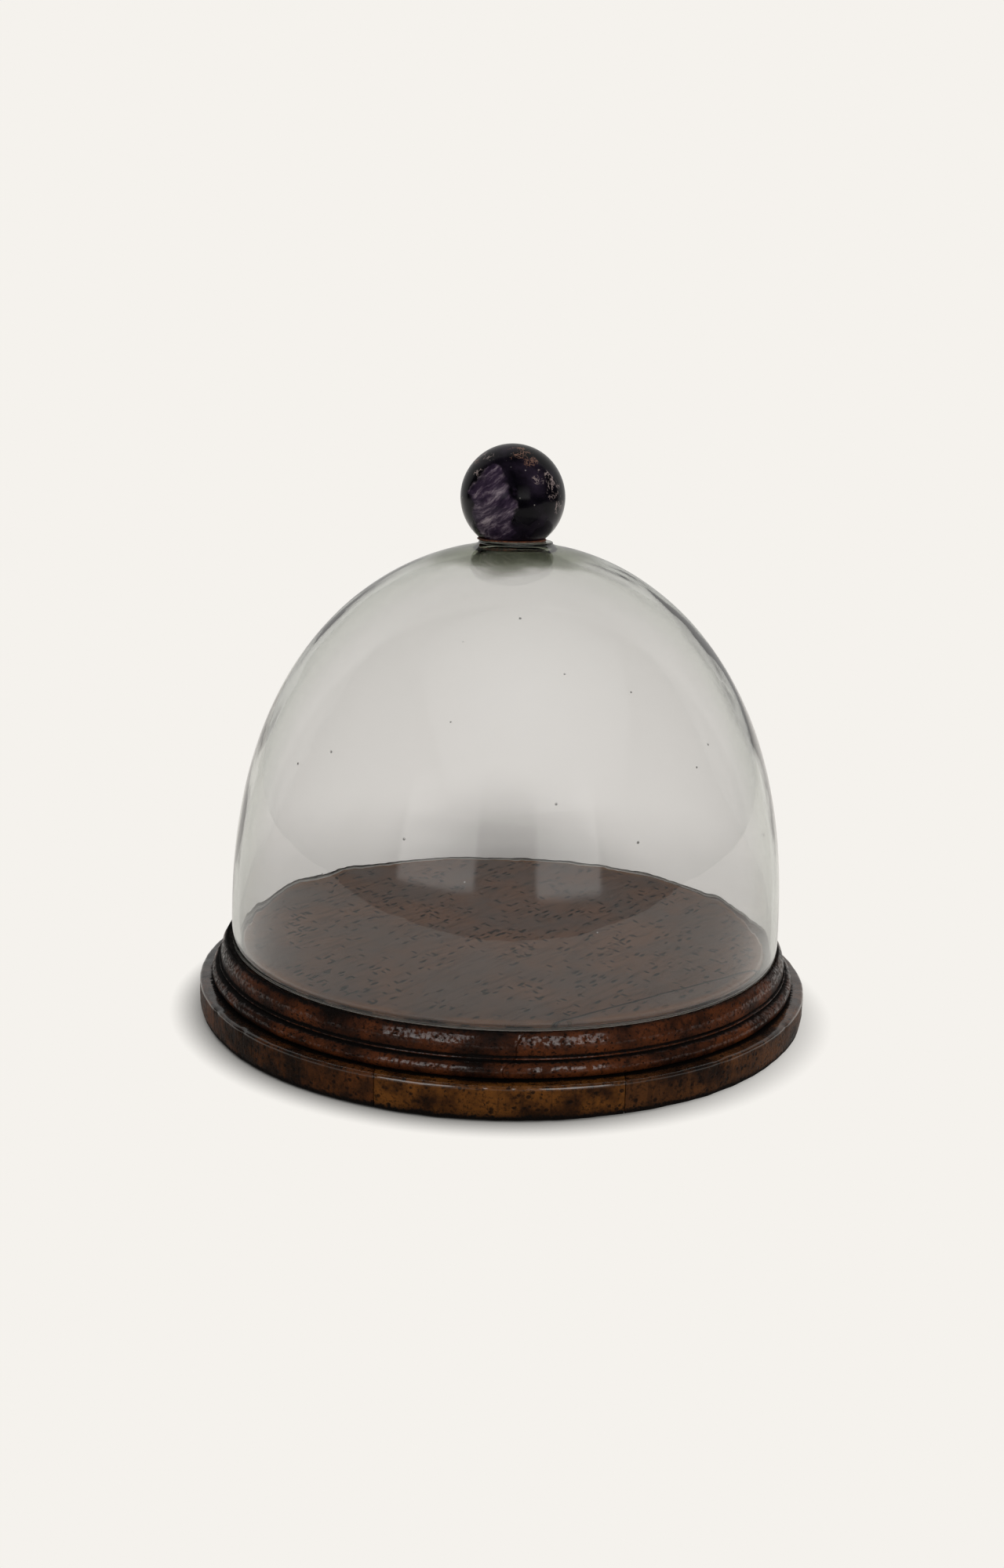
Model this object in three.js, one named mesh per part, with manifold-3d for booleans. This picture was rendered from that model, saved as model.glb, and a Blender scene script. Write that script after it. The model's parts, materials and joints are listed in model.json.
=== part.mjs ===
// A bell jar: a blown glass dome with a stone finial, standing on a turned and moulded wooden base.
// Millimetres, +Z up. The origin is the middle of the underside, and -Y is the front.
import * as THREE from 'three';
import { mergeVertices } from 'three/addons/utils/BufferGeometryUtils.js';
import Module from 'manifold-3d';

const wasm = await Module();
wasm.setup();

// Driving dimensions.
const GAP = 0.3; // clearance between pieces that touch
const ROUND_SIDES = 72; // facets round the base
const GLASS_SIDES = 48; // facets round the dome
const STONE_SIDES = 28; // facets round the finial
const SCREW_SIDES = 12; // facets round a screw

const BAIZE_RADIUS = 148;
const BAIZE_THICKNESS = 1.1;
const RECESS_RADIUS = 149; // the shallow turned recess that holds the baize
const FOOT_LIFT = 0.6; // the wooden rim stands this far above the table

const BASE_RADIUS = 160;
const PLINTH_TOP = 17.5;
const PLINTH_EDGE_ROUND = 1.6;
const FOOT_TAPER = [[1.8, 0], [0.5, 2], [0, 5]]; // how far the foot draws in, at heights above its edge
const PLINTH_BOARD_WIDTH = 114; // the middle board, between its two joints
const MOULDING_BOTTOM = PLINTH_TOP + GAP;
const BEAD_CENTRE_RADIUS = 149.3; // the torus bead above the plinth
const BEAD_CENTRE_Z = 21.3;
const BEAD_RADIUS = 4.3;
const FILLET_RADIUS = 149.9; // the narrow square fillet between bead and ovolo
const FILLET_BOTTOM = 25.9;
const FILLET_TOP = 27;
const OVOLO_RADIUS = 148.8;
const OVOLO_BOTTOM = 27.4;
const OVOLO_SWELL = 0.9; // how far the ovolo's curve is pulled outwards
const OVOLO_SHOULDER = 4.7; // and how far below the lip
const LIP_RADIUS = 145.8; // the low outer wall of the ledge that the glass stands on
const LIP_TOP = 38.2;
const LIP_WIDTH = 0.3;
const LEDGE_TOP = 37.3;
const PLATFORM_RADIUS = 137.3;
const PLATFORM_TOP = 39.3;
const PLATFORM_EDGE_ROUND = 1.2;
const TOP_JOINT_OFFSET = 121; // distance of the joint in the top layer from the middle
const TOP_JOINT_ANGLE = -51.7; // direction of that joint's normal, in degrees from +X

const GLASS_RADIUS = 144.1;
const GLASS_WALL = 3.5;
const GLASS_RIM = LEDGE_TOP + GAP;
const GLASS_TOP = 244.8;
const CROWN_THICKNESS = 5.5; // blown glass is thickest where it was closed
const DOME_ROUNDNESS = 2.04; // exponents of the superellipse that the dome follows
const DOME_FULLNESS = 2.4;
const DOME_SHIFT = 1; // the dome stands this far to the right of the base's middle
const BUTTON_RADIUS = 20.3; // the short glass button under the finial
const BUTTON_TOP = 245.4;
const BUTTON_FILLET = 3;
const BUTTON_ROOT_DROP = 1.6;
const BUTTON_LEAN = 0.4;
const BUTTON_CHAMFER = [1, 0.5];
const PROFILE_STEPS = 11;
const PROFILE_CROWDING = 1.8; // crowds the outline's points towards the crown
const OUTER_SHARE = 0.9; // the share of the rise where each face of the glass meets the crown
const INNER_SHARE = 0.95;

const FINIAL_RADIUS = 26.5;
const FINIAL_FOOT_RADIUS = 16.9; // the flat ground under the ball
const FINIAL_SHIFT = -1.1;
const BEDDING_RADIUS = 17.6; // the cement between ball and button
const BEDDING_THICKNESS = 0.7;
const BEDDING_CHAMFER = 0.5;

const SCREW_HEAD_RADIUS = 4;
const SCREW_SHANK_RADIUS = 2.1;
const SCREW_LENGTH = 25;
const SCREW_HEAD_DEPTH = 2.6;
const SCREW_SEAT_Z = 3; // where the head starts to taper, sunk in the plinth
const SCREW_HEAD_BOTTOM = 2.4;
const HOLE_BOTTOM = -1; // below the base, so that the holes are open
const RING_SCREWS = 6;
const RING_SCREW_RADIUS = 110;
const END_SCREW_RADIUS = 145; // the two screws under the narrow top board
const END_SCREW_SPREAD = 19; // degrees to each side of that board's middle

const group = new THREE.Group();

// A material in the colour and finish of one real substance.
const finish = (color, roughness, metalness = 0, extra = {}) =>
  new THREE.MeshStandardMaterial({ color, roughness, metalness, ...extra });
const plinthWood = finish(0x4a2c18, 0.45);
const mouldingWood = finish(0x35200f, 0.32);
const greenBaize = finish(0x24402c, 0.95);
const screwSteel = finish(0x6d6a66, 0.5, 1);
const blownGlass = finish(0xd9dcda, 0.03, 0, { transparent: true, opacity: 0.3 });
const amethyst = finish(0x1d1524, 0.12);
const cement = finish(0x5a2a18, 0.6);

const radians = (degrees) => THREE.MathUtils.degToRad(degrees);

// Adds one named piece to the object.
function piece(name, geometry, material, x = 0, y = 0, z = 0) {
  const mesh = new THREE.Mesh(geometry, material);
  mesh.name = name;
  mesh.position.set(x, y, z);
  group.add(mesh);
}

// Turns a closed outline of [radius, height] points about the Z axis.
function turned(outline, sides) {
  const points = outline.map(([radius, height]) => new THREE.Vector2(radius, height));
  return new THREE.LatheGeometry(points, sides).rotateX(Math.PI / 2);
}

// Points on an arc of a circle in the outline's plane, from one angle to another.
function arc(radius, height, size, fromDegrees, toDegrees, steps) {
  return Array.from({ length: steps + 1 }, (_, i) => {
    const angle = radians(THREE.MathUtils.lerp(fromDegrees, toDegrees, i / steps));
    return [radius + size * Math.cos(angle), height + size * Math.sin(angle)];
  });
}

// Points on a quadratic curve between two outline points, pulled towards a third.
function swelling(start, pull, end, steps) {
  const curve = new THREE.QuadraticBezierCurve(
    new THREE.Vector2(...start), new THREE.Vector2(...pull), new THREE.Vector2(...end));
  return curve.getPoints(steps).map((point) => [point.x, point.y]);
}

// Converts between three.js geometries and solids that can be cut.
function solid(geometry) {
  const bare = geometry.clone();
  bare.deleteAttribute('normal');
  bare.deleteAttribute('uv');
  const merged = mergeVertices(bare, 1e-4);
  return new wasm.Manifold(new wasm.Mesh({
    numProp: 3,
    vertProperties: new Float32Array(merged.attributes.position.array),
    triVerts: new Uint32Array(merged.index.array),
  }));
}

function shape(manifold) {
  const mesh = manifold.getMesh();
  const geometry = new THREE.BufferGeometry();
  geometry.setAttribute('position', new THREE.BufferAttribute(mesh.vertProperties, 3));
  geometry.setIndex(new THREE.BufferAttribute(mesh.triVerts, 1));
  return geometry;
}

// The part of a solid whose distance along a level direction lies between two limits.
function board(whole, degrees, from, to) {
  const reach = 4 * BASE_RADIUS;
  const slab = new THREE.BoxGeometry(to - from, reach, reach);
  slab.translate((from + to) / 2, 0, 0);
  slab.rotateZ(radians(degrees));
  return whole.intersect(solid(slab));
}

// Where the screws go: a ring of them, and a pair under the narrow top board.
const ringScrews = Array.from({ length: RING_SCREWS }, (_, i) =>
  [RING_SCREW_RADIUS, 90 + (360 / RING_SCREWS) * i]);
const endScrews = [-1, 1].map((side) => [END_SCREW_RADIUS, TOP_JOINT_ANGLE + side * END_SCREW_SPREAD]);
const screwPlaces = [...ringScrews, ...endScrews].map(([radius, degrees]) =>
  [radius * Math.cos(radians(degrees)), radius * Math.sin(radians(degrees))]);

// A countersunk wood screw standing on its head, grown by a margin for the hole it needs.
function screwShape(margin, headBottom) {
  const neck = SCREW_SEAT_Z + SCREW_HEAD_DEPTH;
  const head = SCREW_HEAD_RADIUS + margin;
  const shank = SCREW_SHANK_RADIUS + margin;
  const end = SCREW_SEAT_Z + SCREW_LENGTH + margin;
  return turned([
    [0, headBottom], [head, headBottom], [head, SCREW_SEAT_Z + margin], [shank, neck + margin],
    [shank, end - 2 * shank], [0, end],
  ], SCREW_SIDES);
}

// The screw holes, open at the recess under the base.
const holes = screwPlaces
  .map(([x, y]) => solid(screwShape(GAP, HOLE_BOTTOM).translate(x, y, 0)))
  .reduce((all, hole) => all.add(hole));

// Base, lower layer: a turned plinth glued up from three boards that run front to back.
const recessTop = BAIZE_THICKNESS + GAP;
const plinth = solid(turned([
  [0, recessTop], [RECESS_RADIUS, recessTop], [RECESS_RADIUS, FOOT_LIFT],
  ...FOOT_TAPER.map(([inset, rise]) => [BASE_RADIUS - inset, FOOT_LIFT + rise]),
  ...arc(BASE_RADIUS - PLINTH_EDGE_ROUND, PLINTH_TOP - PLINTH_EDGE_ROUND, PLINTH_EDGE_ROUND, 0, 90, 4),
  [0, PLINTH_TOP],
], ROUND_SIDES)).subtract(holes);
const jointHalf = PLINTH_BOARD_WIDTH / 2;
piece('plinth_board_left', shape(board(plinth, 0, -2 * BASE_RADIUS, -jointHalf - GAP / 2)), plinthWood);
piece('plinth_board_middle', shape(board(plinth, 0, -jointHalf + GAP / 2, jointHalf - GAP / 2)), plinthWood);
piece('plinth_board_right', shape(board(plinth, 0, jointHalf + GAP / 2, 2 * BASE_RADIUS)), plinthWood);

// Base, upper layer: bead, fillet, ovolo, the ledge for the glass and the raised platform, in two boards.
const beadStart = THREE.MathUtils.radToDeg(Math.asin((MOULDING_BOTTOM - BEAD_CENTRE_Z) / BEAD_RADIUS));
const top = solid(turned([
  [0, MOULDING_BOTTOM],
  ...arc(BEAD_CENTRE_RADIUS, BEAD_CENTRE_Z, BEAD_RADIUS, beadStart, 85, 6),
  [FILLET_RADIUS, FILLET_BOTTOM],
  [FILLET_RADIUS, FILLET_TOP],
  ...swelling([OVOLO_RADIUS, OVOLO_BOTTOM], [OVOLO_RADIUS + OVOLO_SWELL, LIP_TOP - OVOLO_SHOULDER],
    [LIP_RADIUS, LIP_TOP], 5),
  [LIP_RADIUS - LIP_WIDTH, LEDGE_TOP],
  [PLATFORM_RADIUS, LEDGE_TOP],
  ...arc(PLATFORM_RADIUS - PLATFORM_EDGE_ROUND, PLATFORM_TOP - PLATFORM_EDGE_ROUND,
    PLATFORM_EDGE_ROUND, 0, 90, 3),
  [0, PLATFORM_TOP],
], ROUND_SIDES)).subtract(holes);
const cut = TOP_JOINT_OFFSET;
piece('top_board_wide', shape(board(top, TOP_JOINT_ANGLE, -2 * BASE_RADIUS, cut - GAP / 2)), mouldingWood);
piece('top_board_narrow', shape(board(top, TOP_JOINT_ANGLE, cut + GAP / 2, 2 * BASE_RADIUS)), mouldingWood);

// Baize disc glued in the recess under the base.
piece('baize_pad', turned([
  [0, 0], [BAIZE_RADIUS, 0], [BAIZE_RADIUS, BAIZE_THICKNESS], [0, BAIZE_THICKNESS],
], ROUND_SIDES), greenBaize);

// Screws driven up through the plinth into the top boards.
screwPlaces.forEach(([x, y], i) => {
  piece(`base_screw_${i + 1}`, screwShape(0, SCREW_HEAD_BOTTOM), screwSteel, x, y);
});

// A point on the superellipse of the dome: how far it has closed in at a share of its rise.
const closing = (share) => Math.pow(1 - Math.pow(share, DOME_FULLNESS), 1 / DOME_ROUNDNESS);

// Outline points of one face of the glass, from the rim up to a share of the rise.
function glassFace(radius, topZ, lastShare) {
  return Array.from({ length: PROFILE_STEPS + 1 }, (_, i) => {
    const share = 1 - Math.pow(1 - (lastShare * i) / PROFILE_STEPS, PROFILE_CROWDING);
    return [radius * closing(share), THREE.MathUtils.lerp(GLASS_RIM, topZ, share)];
  });
}

// Glass dome: outer face up to the button, then the inner face back down to the rim.
const outerFace = glassFace(GLASS_RADIUS, GLASS_TOP, OUTER_SHARE);
const innerFace = glassFace(GLASS_RADIUS - GLASS_WALL, GLASS_TOP - CROWN_THICKNESS, INNER_SHARE).reverse();
piece('glass_dome', turned([
  [0, GLASS_TOP - CROWN_THICKNESS],
  ...innerFace,
  ...outerFace.filter(([radius]) => radius > BUTTON_RADIUS + BUTTON_FILLET),
  [BUTTON_RADIUS, GLASS_TOP - BUTTON_ROOT_DROP],
  [BUTTON_RADIUS - BUTTON_LEAN, BUTTON_TOP - BUTTON_CHAMFER[1]],
  [BUTTON_RADIUS - BUTTON_CHAMFER[0], BUTTON_TOP],
  [0, BUTTON_TOP],
], GLASS_SIDES), blownGlass, DOME_SHIFT);

// Cement bed under the finial.
const beddingBottom = BUTTON_TOP + GAP;
const beddingTop = beddingBottom + BEDDING_THICKNESS;
piece('finial_bedding', turned([
  [0, beddingBottom], [BEDDING_RADIUS, beddingBottom],
  [BEDDING_RADIUS - BEDDING_CHAMFER, beddingTop], [0, beddingTop],
], STONE_SIDES), cement, FINIAL_SHIFT);

// The polished stone ball, with a flat foot ground under it.
const footDepth = Math.sqrt(FINIAL_RADIUS ** 2 - FINIAL_FOOT_RADIUS ** 2);
const footAngle = THREE.MathUtils.radToDeg(Math.atan2(-footDepth, FINIAL_FOOT_RADIUS));
const ballOutline = arc(0, 0, FINIAL_RADIUS, footAngle, 90, 12).slice(0, -1);
piece('finial_ball', turned([
  [0, -footDepth], ...ballOutline, [0, FINIAL_RADIUS],
], STONE_SIDES), amethyst, FINIAL_SHIFT, 0, beddingTop + GAP + footDepth);

export default group;
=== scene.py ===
# %% [markdown]
# # A bell jar on a turned base
# A blown glass dome with a ball of dark amethyst cemented on its crown stands in the ledge of an old
# varnished wooden base. The engineering model already says where every piece is and what moves, so this
# lesson only makes the pieces look like what they are: glass with ripples and seeds, wood that was turned
# on a lathe, varnished, knocked about and waxed, and a polished stone. We load the model first and read the
# boxes of its pieces, which give the sizes.

import json
import math

import bmesh
import bpy
from mathutils import Matrix, Vector, noise

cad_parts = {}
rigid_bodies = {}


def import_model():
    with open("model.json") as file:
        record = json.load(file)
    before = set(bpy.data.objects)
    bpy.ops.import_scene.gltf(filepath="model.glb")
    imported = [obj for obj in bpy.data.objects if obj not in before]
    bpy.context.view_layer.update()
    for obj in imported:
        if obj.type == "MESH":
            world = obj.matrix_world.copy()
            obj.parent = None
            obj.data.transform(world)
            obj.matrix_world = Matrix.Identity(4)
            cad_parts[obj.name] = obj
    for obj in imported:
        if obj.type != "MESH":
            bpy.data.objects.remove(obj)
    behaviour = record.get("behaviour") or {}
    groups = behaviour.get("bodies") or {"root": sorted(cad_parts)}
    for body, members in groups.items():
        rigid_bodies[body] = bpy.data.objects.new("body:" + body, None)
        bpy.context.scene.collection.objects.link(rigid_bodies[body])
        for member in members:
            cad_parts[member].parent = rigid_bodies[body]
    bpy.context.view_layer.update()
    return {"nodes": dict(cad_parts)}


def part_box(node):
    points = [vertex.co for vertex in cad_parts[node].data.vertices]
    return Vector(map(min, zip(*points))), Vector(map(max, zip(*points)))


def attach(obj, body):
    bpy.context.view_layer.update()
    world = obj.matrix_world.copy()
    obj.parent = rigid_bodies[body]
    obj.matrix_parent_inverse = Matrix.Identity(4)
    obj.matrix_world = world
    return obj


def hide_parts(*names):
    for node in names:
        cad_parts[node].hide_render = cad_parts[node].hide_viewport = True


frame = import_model()

# %% [markdown]
# ## Sizes
# Every size is read from the frame or is a small detail given in millimetres. `MM` turns millimetres into
# Blender's metres. The base is round and the dome is round, so a few radii and heights describe them.

# %% Sizes from the frame
MM = 0.001
plinth_low, plinth_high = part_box("plinth_board_middle")
wide_low, wide_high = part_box("top_board_wide")
glass_low, glass_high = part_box("glass_dome")
ball_low, ball_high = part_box("finial_ball")
bed_low, bed_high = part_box("finial_bedding")
baize_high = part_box("baize_pad")[1]

BASE_RADIUS = -plinth_low[1]
FOOT = plinth_low[2]
PLINTH_TOP = plinth_high[2]
SEAM_X = plinth_high[0]
BEAD_OUTER = -wide_low[0]
MOULDING_BOTTOM = wide_low[2]
PLATFORM_TOP = wide_high[2]
GLASS_RADIUS = (glass_high[0] - glass_low[0]) / 2
GLASS_X = (glass_high[0] + glass_low[0]) / 2
GLASS_RIM = glass_low[2]
BUTTON_TOP = glass_high[2]
BALL_RADIUS = (ball_high[0] - ball_low[0]) / 2
BALL_CENTRE = Vector(((ball_low[0] + ball_high[0]) / 2, 0, ball_high[2] - BALL_RADIUS))
print("base radius", round(BASE_RADIUS / MM, 1), "mm, glass radius", round(GLASS_RADIUS / MM, 1), "mm")

# %% [markdown]
# ## Camera
# The camera stands a little above the dome's middle and looks slightly down on it, from about five and a
# half base radii away. It is rolled by a degree and a half, as a hand-set camera often is.

# %% Camera
LENS = 38.5
CAMERA_DISTANCE = 5.5 * BASE_RADIUS
CAMERA_ELEVATION = math.radians(13.434)
CAMERA_ROLL = math.radians(1.573)
CAMERA_AIM = Vector((-0.0165 * BASE_RADIUS, 0, 0.7389 * BASE_RADIUS))

camera_data = bpy.data.cameras.new("studio_camera")
camera_data.lens = LENS
camera = bpy.data.objects.new("studio_camera", camera_data)
bpy.context.scene.collection.objects.link(camera)
towards = Vector((0, -math.cos(CAMERA_ELEVATION), math.sin(CAMERA_ELEVATION)))
camera.location = CAMERA_AIM + towards * CAMERA_DISTANCE
camera.rotation_mode = "QUATERNION"
level = towards.to_track_quat("Z", "Y")
camera.rotation_quaternion = level @ Matrix.Rotation(CAMERA_ROLL, 3, "Z").to_quaternion()
bpy.context.scene.camera = camera
print("camera at", [round(c, 3) for c in camera.location])

# %% [markdown]
# ## Helpers for node trees
# A material is a small graph. `add` makes one node, sets its properties and fills its inputs: a socket
# given as a value is linked, anything else is typed into the input. A socket knows its own tree, so a tree
# is only named for a node with nothing linked to it. The other helpers stand on `add` and keep each recipe
# short enough to read as a sentence. Colours are given as they look on a screen, and `seen` turns them
# into the linear light that shaders work in.

# %% Node helpers
def seen(red, green, blue):
    """Screen values from 0 to 255 as linear light."""
    def linear(value):
        share = value / 255
        return share / 12.92 if share <= 0.04045 else ((share + 0.055) / 1.055) ** 2.4

    return (linear(red), linear(green), linear(blue), 1)


def tree_of(values):
    """The node tree in which the values' sockets are."""
    return next(value.id_data for value in values if isinstance(value, bpy.types.NodeSocket))


def plug(sockets, values):
    """Links or types each value into the socket of its name or number."""
    for name, value in values.items():
        if isinstance(value, bpy.types.NodeSocket):
            value.id_data.links.new(value, sockets[name])
        else:
            sockets[name].default_value = value


def add(kind, inputs=None, tree=None, **settings):
    """One shader node with its settings and inputs, in their sockets' tree unless a tree is given."""
    tree = tree or tree_of(inputs.values())
    node = tree.nodes.new(f"ShaderNode{kind}")
    node.location = (220 * (len(tree.nodes) % 9), -260 * (len(tree.nodes) // 9))
    for name, value in settings.items():
        setattr(node, name, value)
    plug(node.inputs, inputs or {})
    return node


def calc(operation, first, second=0.0, third=0.0):
    """The result of one sum on values."""
    return add("Math", {0: first, 1: second, 2: third}, operation=operation).outputs[0]


def times(first, *others):
    """The product of values."""
    for other in others:
        first = calc("MULTIPLY", first, other)
    return first


def rest_of(value):
    """What a value leaves of one."""
    return calc("SUBTRACT", 1, value)


def vector_calc(operation, first, second=(0, 0, 0), third=(0, 0, 0)):
    """The outputs of one sum on vectors."""
    return add("VectorMath", {0: first, 1: second, 2: third}, operation=operation).outputs


def blend_colour(share, first, second, how="MIX"):
    """Two colours mixed by a share."""
    return add("Mix", {0: share, 6: first, 7: second}, data_type="RGBA", blend_type=how).outputs[2]


def paint(base, mask, strength, colour):
    """The base with a colour over it, as strong as the mask says."""
    return blend_colour(times(mask, strength), base, colour)


def ramp(share, *stops):
    """A colour ramp through (place, grey or colour) stops."""
    node = add("ValToRGB", {"Fac": share})
    elements = node.color_ramp.elements
    for index, (place, value) in enumerate(stops):
        element = elements[index] if index < 2 else elements.new(place)
        element.position = place
        element.color = value if isinstance(value, tuple) else (value, value, value, 1)
    return node.outputs["Color"]


def height_ramp(height, lowest, highest, *between):
    """A ramp over the height, through stops of (millimetres, value); the lowest stands at zero."""
    span = highest[0]
    stops = [(place / span, value) for place, value in (lowest, highest, *between)]
    return ramp(calc("DIVIDE", height, span), *stops)


def map_value(value, low, high, to_low=0.0, to_high=1.0):
    """A value moved smoothly from one range to another."""
    ranges = {"Value": value, "From Min": low, "From Max": high, "To Min": to_low, "To Max": to_high}
    return add("MapRange", ranges, interpolation_type="SMOOTHSTEP").outputs["Result"]


def clouds(vector, scale, detail, roughness=0.5):
    """The outputs of a noise texture."""
    return add("TexNoise", {"Vector": vector, "Scale": scale, "Detail": detail,
                            "Roughness": roughness}).outputs


def slanted(vector, axis_angles, scale):
    """A vector turned by angles in degrees and then stretched, for streaks that lean."""
    turned = add("VectorRotate",
                 {"Vector": vector, "Rotation": tuple(math.radians(angle) for angle in axis_angles)},
                 rotation_type="EULER_XYZ").outputs[0]
    return vector_calc("MULTIPLY", turned, scale)[0]


# %% [markdown]
# ## Effects shared by several finishes
# Grain, pores, grime and knocks appear on more than one piece, so each is a shader node group with named
# inputs and outputs: built once, placed in every material that needs it, with its own values there. A
# group here only gives masks, values and colours; the shader itself stays in the material.

# %% Group helper
def new_group(name, inputs, outputs):
    """An empty group with named sockets: each input is (name, kind, default value)."""
    tree = bpy.data.node_groups.new(name, "ShaderNodeTree")
    for socket_name, kind, value in inputs:
        socket = tree.interface.new_socket(socket_name, in_out="INPUT", socket_type=f"NodeSocket{kind}")
        socket.default_value = value
    for socket_name, kind in outputs:
        tree.interface.new_socket(socket_name, in_out="OUTPUT", socket_type=f"NodeSocket{kind}")
    return tree, tree.nodes.new("NodeGroupInput").outputs, tree.nodes.new("NodeGroupOutput").inputs


def use_group(group, **inputs):
    """Places a group in a material, with underscores for the spaces in its input names."""
    named = {name.replace("_", " "): value for name, value in inputs.items()}
    return add("Group", named, node_tree=group).outputs


# %% [markdown]
# The first group tells a material where it is on a turned piece: how far out from the axis, how high, and
# at which turn. A lathe makes everything in rings, so grime in a groove or wear on an edge is then a
# simple ramp over the height or the radius, in millimetres.

# %% Group: place on a turned piece
turned_place, given, gives = new_group(
    "Turned place", [("Vector", "Vector", (0, 0, 0))],
    [("Radius", "Float"), ("Height", "Float"), ("Turn", "Float")])
parts = add("SeparateXYZ", {0: given["Vector"]}).outputs
flat = add("CombineXYZ", {"X": parts["X"], "Y": parts["Y"]}).outputs[0]
out = vector_calc("LENGTH", flat)["Value"]
turn_angle = calc("ARCTAN2", parts["X"], times(parts["Y"], -1))
plug(gives, {"Radius": calc("DIVIDE", out, MM),
             "Height": calc("DIVIDE", parts["Z"], MM),
             "Turn": calc("DEGREES", turn_angle)})
print("group:", turned_place.name)

# %% [markdown]
# Open pores are the short dark dashes of the wood. Each is one cell of a Voronoi pattern, stretched along
# the grain, and only some of the cells are filled, in clusters. The same group makes bruises and
# wormholes when its cells are round and few.

# %% Group: pores
PORE_WANDER = 1.6 * MM
pores, given, gives = new_group(
    "Pores",
    [("Vector", "Vector", (0, 0, 0)), ("Grain turn", "Float", 0.0), ("Length", "Float", 5.0),
     ("Width", "Float", 1.5), ("Share", "Float", 0.5), ("Cluster", "Float", 40.0)],
    [("Mask", "Float")])
spun = add("VectorRotate",
           {"Vector": given["Vector"], "Angle": calc("RADIANS", given["Grain turn"])}).outputs[0]
wobble = clouds(spun, 90.0, 1.0)["Color"]
spun = vector_calc("MULTIPLY_ADD", wobble, (PORE_WANDER,) * 3, spun)[0]
across = calc("DIVIDE", 1 / MM, given["Width"])
along = calc("DIVIDE", 1 / MM, given["Length"])
stretch = add("CombineXYZ", {"X": along, "Y": across, "Z": across}).outputs[0]
cells = vector_calc("MULTIPLY", spun, stretch)[0]
voronoi = add("TexVoronoi", {"Vector": cells, "Scale": 1.0}).outputs
dash = map_value(voronoi["Distance"], 0.22, 0.38, 1, 0)
cluster = clouds(given["Vector"], calc("DIVIDE", 1 / MM, given["Cluster"]), 3.0, 0.6)[0]
limit = times(given["Share"], map_value(cluster, 0.35, 0.7, 0.15, 1.8))
odds = add("SeparateColor", {0: voronoi["Color"]}).outputs[0]
plug(gives, {"Mask": times(dash, calc("LESS_THAN", odds, limit))})
print("group:", pores.name)

# %% [markdown]
# A spot is a soft ellipsoid at a chosen place: a milky flaw or the cloudy patch in the stone, or the shade
# that lies on the floor. Noise moves its border so that it never looks like a ball.

# %% Group: spot
spot, given, gives = new_group(
    "Spot",
    [("Vector", "Vector", (0, 0, 0)), ("Centre", "Vector", (0, 0, 0)), ("Size", "Vector", (1, 1, 1)),
     ("Ragged", "Float", 0.4), ("Grain", "Float", 400.0), ("Soft", "Float", 0.3)],
    [("Mask", "Float")])
away = vector_calc("SUBTRACT", given["Vector"], given["Centre"])[0]
length = vector_calc("LENGTH", vector_calc("DIVIDE", away, given["Size"])[0])["Value"]
ripple = calc("SUBTRACT", clouds(given["Vector"], given["Grain"], 3.0)[0], 0.5)
length = calc("MULTIPLY_ADD", ripple, times(given["Ragged"], 2), length)
plug(gives, {"Mask": map_value(length, rest_of(given["Soft"]), 1.0, 1, 0)})
print("group:", spot.name)

# %% [markdown]
# Old varnish is never one colour: it is thin and orange where hands polished it, thick and nearly black
# where it ran together with wax. This group mixes three colours with two sizes of cloud, and puts out a
# height too, because thick varnish wrinkles like orange peel.

# %% Group: old varnish
BLACK_WAX = seen(14, 11, 10)
# Its Grime input darkens towards black wax; the moulding and the plinth also feed painted shade into it.
old_varnish, given, gives = new_group(
    "Old varnish",
    [("Vector", "Vector", (0, 0, 0)), ("Dark", "Color", (0, 0, 0, 1)), ("Middle", "Color", (0, 0, 0, 1)),
     ("Light", "Color", (0, 0, 0, 1)), ("Cloud", "Float", 25.0), ("Grime", "Float", 0.0)],
    [("Color", "Color"), ("Peel", "Float"), ("Grime", "Float")])
cloud_scale = calc("DIVIDE", 1 / MM, given["Cloud"])
broad = clouds(given["Vector"], cloud_scale, 4.0, 0.62)[0]
fine = clouds(given["Vector"], times(cloud_scale, 11), 5.0, 0.7)[0]
warm = blend_colour(map_value(broad, 0.42, 0.66), given["Middle"], given["Light"])
warm = blend_colour(map_value(broad, 0.5, 0.3), warm, given["Dark"])
warm = paint(warm, map_value(fine, 0.52, 0.34), 0.75, given["Dark"])
soil = calc("MULTIPLY_ADD", calc("SUBTRACT", fine, 0.5), 1.6, given["Grime"])
soil = map_value(soil, 0.3, 0.75)
plug(gives, {"Color": blend_colour(soil, warm, BLACK_WAX), "Grime": soil,
             "Peel": calc("MULTIPLY_ADD", broad, 0.6, fine)})
print("group:", old_varnish.name)

# %% [markdown]
# ## Finishes
# Each substance has one function that builds its material. All of them read Object coordinates: every
# finished piece sits unturned at the origin, so its Object coordinates are places in metres on the real
# object, and a groove or an edge can be found by its height.

# %% Material helpers
CLEAR_COAT = 1.5


def new_material(name, **sockets):
    """A material with one Principled shader and its plain socket values; gives shader and place."""
    material = bpy.data.materials.new(name)
    material.use_nodes = True
    tree = material.node_tree
    shader = tree.nodes["Principled BSDF"]
    plug(shader.inputs, {socket.replace("_", " "): value for socket, value in sockets.items()})
    place = add("TexCoord", tree=tree).outputs["Object"]
    return material, shader, place


def bump(height, distance, strength=1.0):
    """A Bump node's normal, from a height and how far the surface really rises, in metres."""
    inputs = {"Height": height, "Distance": distance, "Strength": strength}
    return add("Bump", inputs).outputs["Normal"]


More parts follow.
